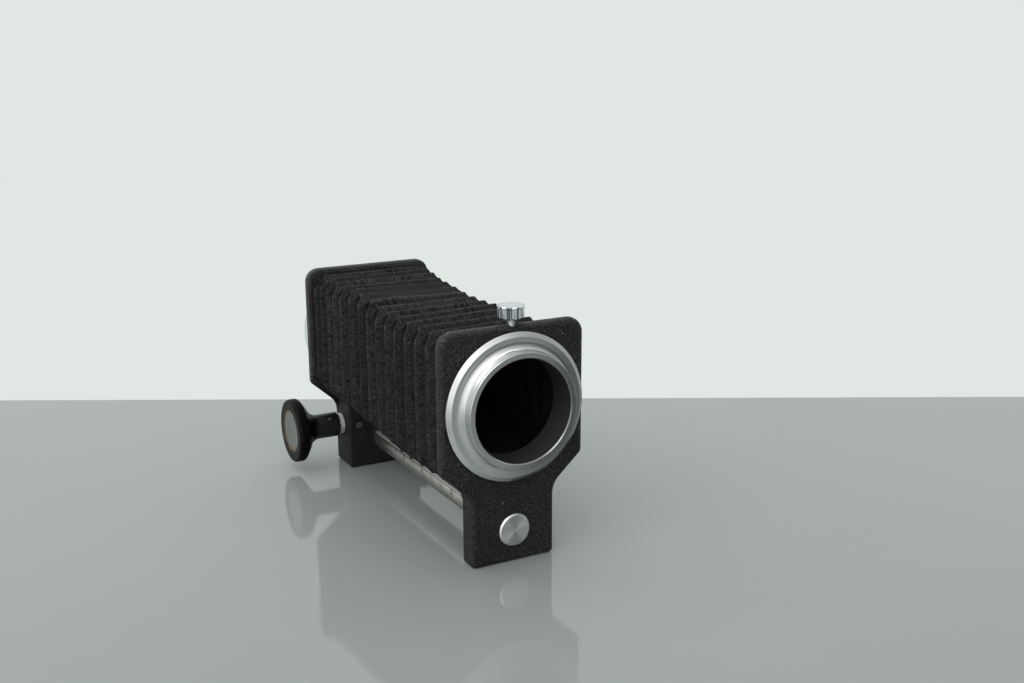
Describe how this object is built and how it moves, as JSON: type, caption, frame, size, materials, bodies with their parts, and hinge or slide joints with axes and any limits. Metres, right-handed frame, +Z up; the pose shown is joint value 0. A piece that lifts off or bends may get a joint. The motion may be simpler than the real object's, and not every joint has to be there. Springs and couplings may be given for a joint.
{
  "type": "macro bellows unit",
  "caption": "Pleated bellows between a fixed front standard and a rear standard that slides on a round rail by rack and pinion, with silver mount rings and a side focus knob.",
  "frame": {"origin": "centre of the front standard's foot, on the ground under the optical axis", "axes": "+Y rearward along the optical axis and rail, +Z up, +X to the right seen from the front"},
  "size_m": [0.0746, 0.1667, 0.1029],
  "materials": {
    "crackle_paint": "black crackle paint on cast metal",
    "satin_aluminium": "bright turned aluminium",
    "nickel_rail": "satin nickel plated steel",
    "chrome": "polished chrome",
    "brass": "machined brass",
    "bronze": "oiled bronze",
    "black_steel": "blackened steel",
    "screw_steel": "plain steel",
    "black_knob": "black moulded plastic",
    "grey_disc": "worn grey metal",
    "bellows_cloth": "pleated black book cloth"
  },
  "bodies": {
    "front": {"front_standard": "crackle_paint", "front_bellows_frame": "black_steel", "front_frame_screws": "screw_steel", "rail_rod": "nickel_rail", "rail_cap": "satin_aluminium", "rail_set_screw": "screw_steel", "rail_stop_collar": "nickel_rail", "stop_set_screw": "screw_steel", "rack": "nickel_rail", "rack_screws": "screw_steel", "bellows": "bellows_cloth"},
    "front_ring": {"front_mount_ring": "satin_aluminium", "front_ring_retainer": "black_steel"},
    "ring_screw": {"ring_thumb_screw": "chrome"},
    "carriage": {"rear_standard": "crackle_paint", "rear_mount_ring": "satin_aluminium", "rear_ring_screws": "screw_steel", "rear_bellows_frame": "black_steel", "rear_frame_screws": "screw_steel", "rail_sleeve": "bronze", "pinion_bearing_nut": "chrome", "pinion_end_bush": "bronze", "bearing_set_screw": "screw_steel", "tripod_bush": "brass", "lock_pad": "brass"},
    "lock_screw": {"lock_thumb_screw": "chrome"},
    "knob": {"pinion_shaft": "screw_steel", "focus_knob": "black_knob", "knob_disc": "grey_disc", "knob_grub_screw": "screw_steel"}
  },
  "joints": [
    {"name": "focus_slide", "type": "slide", "parent": "front", "child": "carriage", "axis": [0, 1, 0], "range_m": [-0.1, 0], "deforming": ["bellows"]},
    {"name": "pinion_spin", "type": "hinge", "parent": "carriage", "child": "knob", "pos_m": [0, 0.137, 0.0194], "axis": [1, 0, 0], "range_deg": [-2, 1594]},
    {"name": "front_ring_turn", "type": "hinge", "parent": "front", "child": "front_ring", "pos_m": [0, -0.005, 0.0638], "axis": [0, 1, 0], "continuous": true},
    {"name": "ring_screw_turn", "type": "hinge", "parent": "front", "child": "ring_screw", "pos_m": [0, -0.003, 0.0955], "axis": [0, 0, 1], "range_deg": [0, 720]},
    {"name": "lock_screw_turn", "type": "hinge", "parent": "carriage", "child": "lock_screw", "pos_m": [0.018, 0.1294, 0.0132], "axis": [1, 0, 0], "range_deg": [0, 360]}
  ],
  "couplings": [
    {"joint": "pinion_spin", "follows": "focus_slide", "rad_per_m": -277.78}
  ]
}
